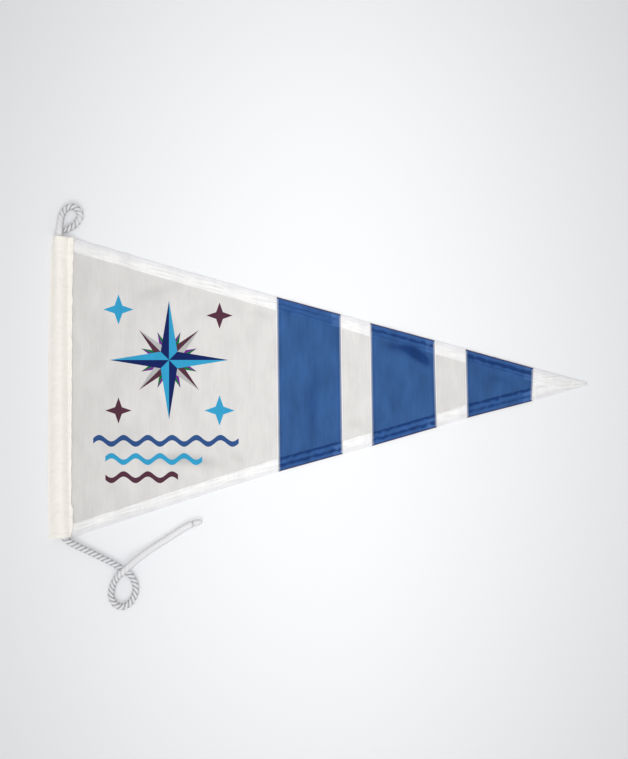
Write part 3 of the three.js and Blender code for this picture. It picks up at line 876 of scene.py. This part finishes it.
def heading_sheet(heading):
    """Outer and inner grid of the folded canvas. A row is one section: under the rope from the free
    edge to the fold, half round the fold, then over the rope to the sewn edge."""
    low, high = HEADING_ROWS - HEADING_TOP, HEADING_TOP - HEADING_ROWS[::-1]
    y = np.concatenate([low, even_steps(low[-1], high[0], HEADING_PITCH), high])[:, None]
    row = read(HEADING, "y", y)
    right = row["right"] + ripple("heading_edge", 0, y)
    start = row["left"] + FOLD_RADIUS
    from_end = HEADING_TOP - np.abs(y)

    climb = np.concatenate([np.linspace(0, SEWN_POINTS[0], OVER_POINTS)[:-1], SEWN_POINTS])
    x_top = start + (right - start) * climb
    over = heading_inner(row, x_top)
    slope = np.gradient(over, axis=1) / np.gradient(x_top, axis=1)
    turned = 1 - smoothstep(TURNED_IN, TURNED_IN + TURNED_IN_EDGE, from_end)
    thick = (heading.thickness + TURNED_IN_RISE * turned) * np.minimum(np.hypot(1, slope), STEEPEST)
    calm = smoothstep(0, SWELL_START, x_top - start) * smoothstep(0, SWELL_END, right - x_top)
    swell = calm * (ripple("heading_swell", 0, y, x_top) + ripple("heading_waves", 0, y, x_top))
    sewn_at, sewn_width, sewn_depth = SEWN_TROUGH
    groove_width, groove_depth = TURNED_IN_GROOVE
    outer = over + thick + swell - sewn_depth * bump(right - x_top, sewn_at, sewn_width)
    outer = outer - groove_depth * bump(from_end, TURNED_IN + groove_width, groove_width)
    outer = outer - rounding(right - x_top, *SEWN_ROUND) - rounding(from_end, *END_ROUND)
    over = over + SWELL_INNER * swell

    flat = start + (right - start) * np.linspace(1, 0, UNDER_POINTS + 1)[:-1]
    angle = np.linspace(-math.pi / 2, -1.5 * math.pi, FOLD_POINTS + 1)[:-1]

    def section(radius, foot, top):
        x = np.concatenate([flat, start + radius * np.cos(angle), x_top], axis=1)
        round_fold = FOLD_RADIUS + radius * np.sin(angle) + 0 * start
        z = np.concatenate([np.full_like(flat, foot), round_fold, top], axis=1)
        lean = 1 - HEADING_LEAN / HEADING_TOP * (x - row["left"]) / (right - row["left"])
        return np.stack([x, y * lean, z], axis=-1)

    inner_radius = FOLD_RADIUS - heading.thickness
    return section(FOLD_RADIUS, 0, outer), section(inner_radius, heading.thickness, over)


def heading_stitches(outer, cloth):
    """Middle lines of the stitches along the heading's sewn edge, on a column of its outer grid."""
    line = outer[:, SEWN_COLUMN]
    reach = HEADING_TOP - TURNED_IN - cloth.stitch
    y = np.arange(-reach, reach, cloth.stitch)[:, None] + STITCH_SHARES * cloth.stitch
    x, z = (np.interp(y, line[:, 1], line[:, axis]) for axis in (0, 2))
    return np.stack([x, y, z + STITCH_RISE], axis=-1)


def catmull_rom(points, per_span):
    """Centripetal Catmull-Rom curve through points: each span is a cubic whose end tangents come
    from the spans beside it, weighed by the square root of the distance between points."""
    points = np.array(points)
    first, last = 2 * points[0] - points[1], 2 * points[-1] - points[-2]
    chain = np.vstack([first, points, last])
    gaps = np.sqrt(np.linalg.norm(np.diff(chain, axis=0), axis=1))[:, None]
    p0, p1, p2, p3 = chain[:-3], chain[1:-2], chain[2:-1], chain[3:]
    before, here, after = gaps[:-2], gaps[1:-1], gaps[2:]
    start = ((p1 - p0) / before - (p2 - p0) / (before + here) + (p2 - p1) / here) * here
    end = ((p2 - p1) / here - (p3 - p1) / (here + after) + (p3 - p2) / after) * here
    t = (np.arange(per_span) / per_span)[None, :, None]
    p1, p2, start, end = p1[:, None], p2[:, None], start[:, None], end[:, None]
    curve = p1 + start * t + (3 * (p2 - p1) - 2 * start - end) * t**2
    curve = curve + (2 * (p1 - p2) + start + end) * t**3
    return np.vstack([curve.reshape(-1, 3), points[-1:]])


def evenly(points, pitch):
    """Points of a line again, an even distance apart."""
    along = np.concatenate([[0], np.cumsum(np.linalg.norm(np.diff(points, axis=0), axis=1))])
    places = np.linspace(0, along[-1], int(along[-1] / pitch) + 1)
    return places, np.stack([np.interp(places, along, points[:, i]) for i in range(3)], axis=1)


def rope_surface(rope):
    """Middle line of the rope, and for each point round it the radius, the angle and how much painted
    shade it has, in the grooves, at the sides and in the ring near its end, with the UV of each face
    corner. A strand is a circle set out from the middle to touch the rope's radius: out cos a +
    sqrt((1 - out)^2 - (out sin a)^2), a being the angle off its crest. The strands turn once in a lay."""
    along, path = evenly(catmull_rom(ROPE_ROUTE, SPAN_POINTS), ROPE_PITCH)
    from_end = along[-1] - along
    eye, tail = read(EYE, "along", along), read(TAIL, "along", from_end)
    worn, thick = eye["worn"] + tail["worn"], eye["thick"] * tail["thick"]
    sides = STRAND_SIDES * STRANDS
    angle = TURN * np.arange(sides) / sides
    off_crest = (angle + math.pi / STRANDS) % (TURN / STRANDS) - math.pi / STRANDS
    out = STRAND_OUT - WORN_IN * worn[:, None]
    section = out * np.cos(off_crest) + np.sqrt((1 - out) ** 2 - (out * np.sin(off_crest)) ** 2)
    radius = rope.diameter / 2 * thick[:, None] * section
    turns = (along / rope.lay)[:, None]
    turned = angle - TURN * turns
    # Painted shade at the rope's sides, in the ring near the tail's end and in the grooves
    side = SIDE_SHADE_SHARE * np.abs(np.cos(turned)) ** SIDE_SHADE_POWER
    ring = RING_SHADE_SHARE * bump(from_end, *RING_SHADE_PLACE)[:, None]
    rope_shade = np.abs(np.sin(STRANDS / 2 * angle)) ** GROOVE_SHADE_POWER * (1 - WORN_GROOVE_SHADE * worn[:, None])
    rope_shade = np.clip(rope_shade + side + ring, 0, 1)
    u = np.arange(sides + 1) / sides - turns
    place = np.stack([u, np.broadcast_to(along[:, None], u.shape)], axis=-1)
    corners = np.stack([place[:-1, :-1], place[:-1, 1:], place[1:, 1:], place[1:, :-1]], axis=2)
    uv = np.concatenate([corners.reshape(-1, 2), np.zeros((2 * sides, 2))])
    return path, radius, turned, rope_shade, uv


def node(tree, kind, inputs, output=0, **settings):
    """Adds a node with its settings, and gives its numbered or named output. Each input is a value or
    the socket that it is linked to, and a colour gets its alpha."""
    made = tree.nodes.new("ShaderNode" + kind)
    for key, value in settings.items():
        setattr(made, key, value)
    for key, value in inputs.items():
        socket = made.inputs[key]
        if isinstance(value, bpy.types.NodeSocket):
            tree.links.new(value, socket)
        else:
            socket.default_value = (*value, 1) if socket.type == "RGBA" else value
    return made.outputs[output]


def new_material(name, values):
    """A material with its tree, and constant values on its shader."""
    material = bpy.data.materials.new(name)
    material.use_nodes = True
    for key, value in values.items():
        material.node_tree.nodes["Principled BSDF"].inputs[key].default_value = value
    return material, material.node_tree


def finish(tree, tone, relief=None, depth=0.0):
    """Gives the shader its colour, and a relief of a depth in metres."""
    shader = tree.nodes["Principled BSDF"]
    tree.links.new(tone, shader.inputs["Base Color"])
    if relief:
        raised = node(tree, "Bump", {"Height": relief, "Distance": depth})
        tree.links.new(raised, shader.inputs["Normal"])


def mottled(tree, place, tone, size, depth, detail):
    """A colour made uneven, and the grain of it: the colour times 1 + depth (grain - 1/2), grain being
    a noise of about a size in metres on each axis."""
    scaled = node(tree, "Mapping", {"Vector": place, "Scale": [1 / part for part in size]})
    grain = node(tree, "TexNoise", {"Vector": scaled, "Scale": 1, "Detail": detail}, "Fac")
    shade = node(tree, "Math", {0: grain, 1: depth, 2: 1 - depth / 2}, operation="MULTIPLY_ADD")
    return node(tree, "VectorMath", {0: tone, "Scale": shade}, operation="SCALE"), grain


def ribs(tree, along, pitch):
    """Even ribs a pitch apart, as a sine wave along one coordinate."""
    turned = node(tree, "Math", {0: along, 1: TURN / pitch}, operation="MULTIPLY")
    return node(tree, "Math", {0: turned}, operation="SINE")


def star(tree, place, row):
    """Inside and dark half of a four-pointed star. In units of its reach a point is inside where
    a + b (1 / waist - 1) < 1, a being the larger and b the smaller distance from its two axes, and
    the halves change sides at its axes and at the slants between them."""
    spot = {
        "Vector": place,
        "Location": (row["x"], row["y"], 0),
        "Rotation": (0, 0, math.radians(row["turn"])),
        "Scale": (row["reach"], row["reach"], 1),
    }
    placed = node(tree, "Mapping", spot, vector_type="TEXTURE")
    away = node(tree, "VectorMath", {0: placed}, operation="ABSOLUTE")
    x, y, _ = node(tree, "SeparateXYZ", {0: placed}).node.outputs
    wide, tall, _ = node(tree, "SeparateXYZ", {0: away}).node.outputs
    larger = node(tree, "Math", {0: wide, 1: tall}, operation="MAXIMUM")
    smaller = node(tree, "Math", {0: wide, 1: tall}, operation="MINIMUM")
    slant = 1 / row["waist"] - 1
    reached = node(tree, "Math", {0: smaller, 1: slant, 2: larger}, operation="MULTIPLY_ADD")
    inside = node(tree, "Math", {0: reached, 1: 1}, operation="LESS_THAN")
    quarter = node(tree, "Math", {0: x, 1: y}, operation="MULTIPLY")
    eighth = node(tree, "Math", {0: wide, 1: tall}, operation="SUBTRACT")
    turning = node(tree, "Math", {0: quarter, 1: eighth}, operation="MULTIPLY")
    return inside, node(tree, "Math", {0: turning, 1: 0}, operation="GREATER_THAN")


def wave_line(tree, place, row):
    """Inside of a wavy line: where the distance from its sine is under half its width, and the
    distance from its middle under half its length."""
    start = (row["x"], row["y"], 0)
    placed = node(tree, "VectorMath", {0: place, 1: start}, operation="SUBTRACT")
    x, y, _ = node(tree, "SeparateXYZ", {0: placed}).node.outputs
    wave = ribs(tree, x, WAVE_PITCH)
    off = node(tree, "Math", {0: wave, 1: -WAVE_RISE, 2: y}, operation="MULTIPLY_ADD")
    near = node(tree, "Math", {0: off, 1: 0, 2: WAVE_WIDTH / 2}, operation="COMPARE")
    within = node(tree, "Math", {0: x, 1: 0, 2: row["length"] / 2}, operation="COMPARE")
    return node(tree, "Math", {0: near, 1: within}, operation="MULTIPLY")


def printed_design(tree, place, tone, inks):
    """Screen-printed compass star over three waves, with small stars round it."""
    for values in STARS:
        row = dict(zip(STAR_COLUMNS, values))
        inside, dark = star(tree, place, row)
        halves = {0: dark, 6: getattr(inks, row["light"]), 7: getattr(inks, row["dark"])}
        ink = node(tree, "Mix", halves, 2, data_type="RGBA")
        tone = node(tree, "Mix", {0: inside, 6: tone, 7: ink}, 2, data_type="RGBA")
    for values in WAVES:
        row = dict(zip(WAVE_COLUMNS, values))
        layers = {0: wave_line(tree, place, row), 6: tone, 7: getattr(inks, row["ink"])}
        tone = node(tree, "Mix", layers, 2, data_type="RGBA")
    return tone


def knitted_polyester(name, cloth, tint, inks=None):
    """Knitted polyester bunting, dyed in the piece: a dull, slightly sheer cloth with fine upright
    ribs. It is paler where its layers double, and carries painted shade along the stitches, in the
    hems' puckers, in fold creases, beside the seams and along the white hems' outer folds."""
    values = {"Roughness": 0.9, "Specular IOR Level": 0.2, "Sheen Weight": 0.05}
    material, tree = new_material(name, values)
    place = node(tree, "TexCoord", {}, "Object")
    tone = getattr(cloth, tint)
    # The crease share mixes in painted shade, and so does the rim on the white cloth
    for share in ("doubled", "under", "crease", "rim"):
        amount = node(tree, "Attribute", {}, "Fac", attribute_name=share)
        other = getattr(cloth, f"{tint}_{share}")
        tone = node(tree, "Mix", {0: amount, 6: tone, 7: other}, 2, data_type="RGBA")
    if inks:
        tone = printed_design(tree, place, tone, inks)
    tone, _ = mottled(tree, place, tone, *BLOTCHES[tint])
    tone, streaks = mottled(tree, place, tone, *STREAKS[tint])
    # Wales run up the cloth with courses across them, both drawn as rounded ribs
    x, y, _ = node(tree, "SeparateXYZ", {0: place}).node.outputs
    wales, courses = ribs(tree, x, WALES), ribs(tree, y, COURSES)
    knit = node(tree, "Math", {0: courses, 1: COURSE_SHARE, 2: wales}, operation="MULTIPLY_ADD")
    relief = node(tree, "Math", {0: streaks, 1: STREAK_SHARE, 2: knit}, operation="MULTIPLY_ADD")
    finish(tree, tone, relief, KNIT_DEPTH)
    return material


def cotton_canvas(heading):
    """Cotton canvas, plain woven and unbleached: dull, off-white, with soft uneven blotches and a
    close square weave."""
    values = {"Roughness": 0.92, "Specular IOR Level": 0.2, "Sheen Weight": 0.1}
    material, tree = new_material("cotton_canvas", values)
    place = node(tree, "TexCoord", {}, "Object")
    tone, _ = mottled(tree, place, heading.canvas, *CANVAS_BLOTCHES)
    tone, slubs = mottled(tree, place, tone, *CANVAS_SLUBS)
    # The weave is the product of ribs both ways, raised where two threads cross
    x, y, _ = node(tree, "SeparateXYZ", {0: place}).node.outputs
    warp, weft = ribs(tree, x, CANVAS_THREADS), ribs(tree, y, CANVAS_THREADS)
    weave = node(tree, "Math", {0: warp, 1: weft}, operation="MULTIPLY")
    relief = node(tree, "Math", {0: slubs, 1: SLUB_SHARE, 2: weave}, operation="MULTIPLY_ADD")
    finish(tree, tone, relief, CANVAS_DEPTH)
    return material


def laid_polyester(rope):
    """Polyester rope laid from three strands: satin fibres that run nearly along the rope, and painted
    shade in the grooves, at the sides and in the ring near the tail's end."""
    values = {"Roughness": 0.5, "Specular IOR Level": 0.35, "Sheen Weight": 0.15}
    material, tree = new_material("laid_polyester_rope", values)
    place = node(tree, "UVMap", {}, uv_map="UVMap")
    # Painted shade, read from the rope's attribute
    rope_shade = node(tree, "Attribute", {}, "Fac", attribute_name="rope_shade")
    tone = node(tree, "Mix", {0: rope_shade, 6: rope.fibre, 7: rope.rope_shade}, 2, data_type="RGBA")
    tone, fuzz = mottled(tree, place, tone, *ROPE_FUZZ)
    # Yarns of about 0.9 mm, drawn as ribs that slant along the rope
    u, v, _ = node(tree, "SeparateXYZ", {0: place}).node.outputs
    slant = node(tree, "Math", {0: v, 1: YARN_SLANT, 2: u}, operation="MULTIPLY_ADD")
    yarns = ribs(tree, slant, 1 / YARNS)
    relief = node(tree, "Math", {0: fuzz, 1: FUZZ_SHARE, 2: yarns}, operation="MULTIPLY_ADD")
    finish(tree, tone, relief, ROPE_DEPTH)
    return material


def spun_thread(name, tint):
    """Spun polyester sewing thread: dull, twisted and a little fuzzy."""
    material, tree = new_material(name, {"Roughness": 0.75, "Specular IOR Level": 0.3})
    tone, _ = mottled(tree, node(tree, "TexCoord", {}, "Object"), tint, *THREAD_FUZZ)
    finish(tree, tone)
    return material


def painted_board(stage):
    """Board painted matt with a roller: plain, pale and even."""
    material, tree = new_material("painted_board", {"Roughness": 0.9})
    tone, _ = mottled(tree, node(tree, "TexCoord", {}, "Object"), stage.floor, *FLOOR_GRAIN)
    finish(tree, tone)
    return material


def dress(piece, material, slot, *replaced):
    """Gives a piece its finish, its body and the solids that it stands for."""
    piece.data.materials.append(material)
    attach(piece, "root")
    if replaced:
        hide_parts(*replaced)


def lamp(name, kind, place, power, **settings):
    """A lamp at a place, with its power in watts and its settings."""
    light = bpy.data.lights.new(name, kind)
    light.energy = power
    for key, value in settings.items():
        setattr(light, key, value)
    made = bpy.data.objects.new(name, light)
    made.location = place
    bpy.context.scene.collection.objects.link(made)
    return made


class PENNANT_OT_stage(bpy.types.Operator):
    """Camera, floor and soft studio light"""

    bl_idname = "pennant.stage"
    bl_label = "Stage"

    def execute(self, context):
        stage = context.scene.pennant_stage
        camera = bpy.data.objects.new("camera", bpy.data.cameras.new("camera"))
        camera.data.lens = CAMERA_LENS
        camera.data.sensor_width = SENSOR
        camera.location = (*CAMERA_PLACE, VIEW_HEIGHT * CAMERA_LENS / SENSOR)
        context.scene.collection.objects.link(camera)
        context.scene.camera = camera

        corners = FLOOR_REACH * np.array([(-1, -1, 0), (1, -1, 0), (1, 1, 0), (-1, 1, 0)])
        floor = mesh_object("floor", corners, [[0, 1, 2, 3]])
        floor.data.materials.append(painted_board(stage))

        key = lamp("key", "AREA", KEY_PLACE, stage.key, size=KEY_SIZE)
        key.rotation_euler = key.location.to_track_quat("Z", "Y").to_euler()
        spread = {"spot_size": math.radians(POOL_SPREAD), "spot_blend": 1}
        pool = lamp("pool", "SPOT", POOL_PLACE, stage.pool, shadow_soft_size=POOL_SOFTNESS, **spread)
        pool.scale = POOL_SHAPE

        world = bpy.data.worlds.new("studio")
        world.use_nodes = True
        background = world.node_tree.nodes["Background"]
        background.inputs["Color"].default_value = (1, 1, 1, 1)
        background.inputs["Strength"].default_value = stage.ambient
        context.scene.world = world
        context.scene.view_settings.view_transform = "Standard"
        return {"FINISHED"}


class PENNANT_OT_rope(bpy.types.Operator):
    """Laid rope with its eye, its stretch inside the heading and its tail"""

    bl_idname = "pennant.rope"
    bl_label = "Rope"

    def execute(self, context):
        rope = context.scene.pennant_rope
        path, radius, angle, rope_shade, uv = rope_surface(rope)
        piece = tubes("rope_laid", path[None], radius[None], angle[None], {"rope_shade": rope_shade}, uv)
        dress(piece, laid_polyester(rope), "rope", "rope")
        return {"FINISHED"}


class PENNANT_OT_bands(bpy.types.Operator):
    """White and blue bands of bunting, each with its hems"""

    bl_idname = "pennant.bands"
    bl_label = "Bands"

    def execute(self, context):
        cloth = context.scene.pennant_cloth
        inks = context.scene.pennant_print
        finishes = {
            "white": knitted_polyester("knitted_polyester_white", cloth, "white"),
            "blue": knitted_polyester("knitted_polyester_blue", cloth, "blue"),
        }
        printed = knitted_polyester("knitted_polyester_printed", cloth, "white", inks)
        for index, (name, tint, _) in enumerate(BANDS):
            x, y = band_grid(index)
            shape = band_shape(index, x, y, cloth)
            upper = np.stack([x, y, shape.pop("upper")], axis=-1)
            lower = np.stack([x, y, shape.pop("lower")], axis=-1)
            piece = closed_sheet(f"{name}_cloth", upper, lower, shape)
            dress(piece, finishes[tint] if index else printed, f"{tint}_bunting", name)
        return {"FINISHED"}


class PENNANT_OT_heading(bpy.types.Operator):
    """Canvas heading folded round the rope and the hoist edge"""

    bl_idname = "pennant.heading"
    bl_label = "Heading"

    def execute(self, context):
        heading = context.scene.pennant_heading
        outer, inner = heading_sheet(heading)
        piece = closed_sheet("heading_canvas", outer, inner)
        dress(piece, cotton_canvas(heading), "canvas", "heading")
        return {"FINISHED"}


class PENNANT_OT_stitching(bpy.types.Operator):
    """Hem stitches, zigzag seams and the heading's row of stitches"""

    bl_idname = "pennant.stitching"
    bl_label = "Stitching"

    def execute(self, context):
        cloth = context.scene.pennant_cloth
        white = spun_thread("spun_thread_white", cloth.white_thread)
        blue = spun_thread("spun_thread_blue", cloth.blue_thread)
        for tint, thread in (("white", white), ("blue", blue)):
            rows = [hem_stitches(i, cloth) for i, band in enumerate(BANDS) if band[1] == tint]
            piece = threads(f"hem_stitches_{tint}", np.concatenate(rows), cloth.thread)
            dress(piece, thread, f"{tint}_bunting")
        legs = [seam_stitches(index, cloth) for index in range(1, len(BANDS))]
        piece = threads("seam_zigzag", np.concatenate(legs), cloth.thread)
        dress(piece, white, "white_bunting")
        outer, _ = heading_sheet(context.scene.pennant_heading)
        piece = threads("heading_stitches", heading_stitches(outer, cloth), cloth.thread)
        dress(piece, white, "canvas")
        return {"FINISHED"}


class PENNANT_PT_sidebar(bpy.types.Panel):
    """Lists the pennant's pieces and their sizes"""

    bl_idname = "PENNANT_PT_sidebar"
    bl_label = "Nautical Pennant"
    bl_space_type = "VIEW_3D"
    bl_region_type = "UI"
    bl_category = "Pennant"

    def draw(self, context):
        for operator in OPERATORS:
            self.layout.operator(operator.bl_idname)
        for key, group in GROUPS.items():
            self.layout.label(text=group.__doc__)
            for field in group.__annotations__:
                self.layout.prop(getattr(context.scene, key), field)


GROUPS = {
    "pennant_cloth": PennantCloth,
    "pennant_heading": PennantHeading,
    "pennant_rope": PennantRope,
    "pennant_print": PennantPrint,
    "pennant_stage": PennantStage,
}
OPERATORS = (
    PENNANT_OT_stage,
    PENNANT_OT_rope,
    PENNANT_OT_bands,
    PENNANT_OT_heading,
    PENNANT_OT_stitching,
)


def register():
    for made in (*GROUPS.values(), *OPERATORS, PENNANT_PT_sidebar):
        bpy.utils.register_class(made)
    for key, group in GROUPS.items():
        setattr(bpy.types.Scene, key, bpy.props.PointerProperty(type=group))


def unregister():
    for key in GROUPS:
        delattr(bpy.types.Scene, key)
    for made in (PENNANT_PT_sidebar, *reversed(OPERATORS), *reversed(GROUPS.values())):
        bpy.utils.unregister_class(made)


def main():
    register()
    bpy.ops.pennant.stage()
    bpy.ops.pennant.rope()
    bpy.ops.pennant.bands()
    bpy.ops.pennant.heading()
    bpy.ops.pennant.stitching()


if __name__ == "__main__":
    main()
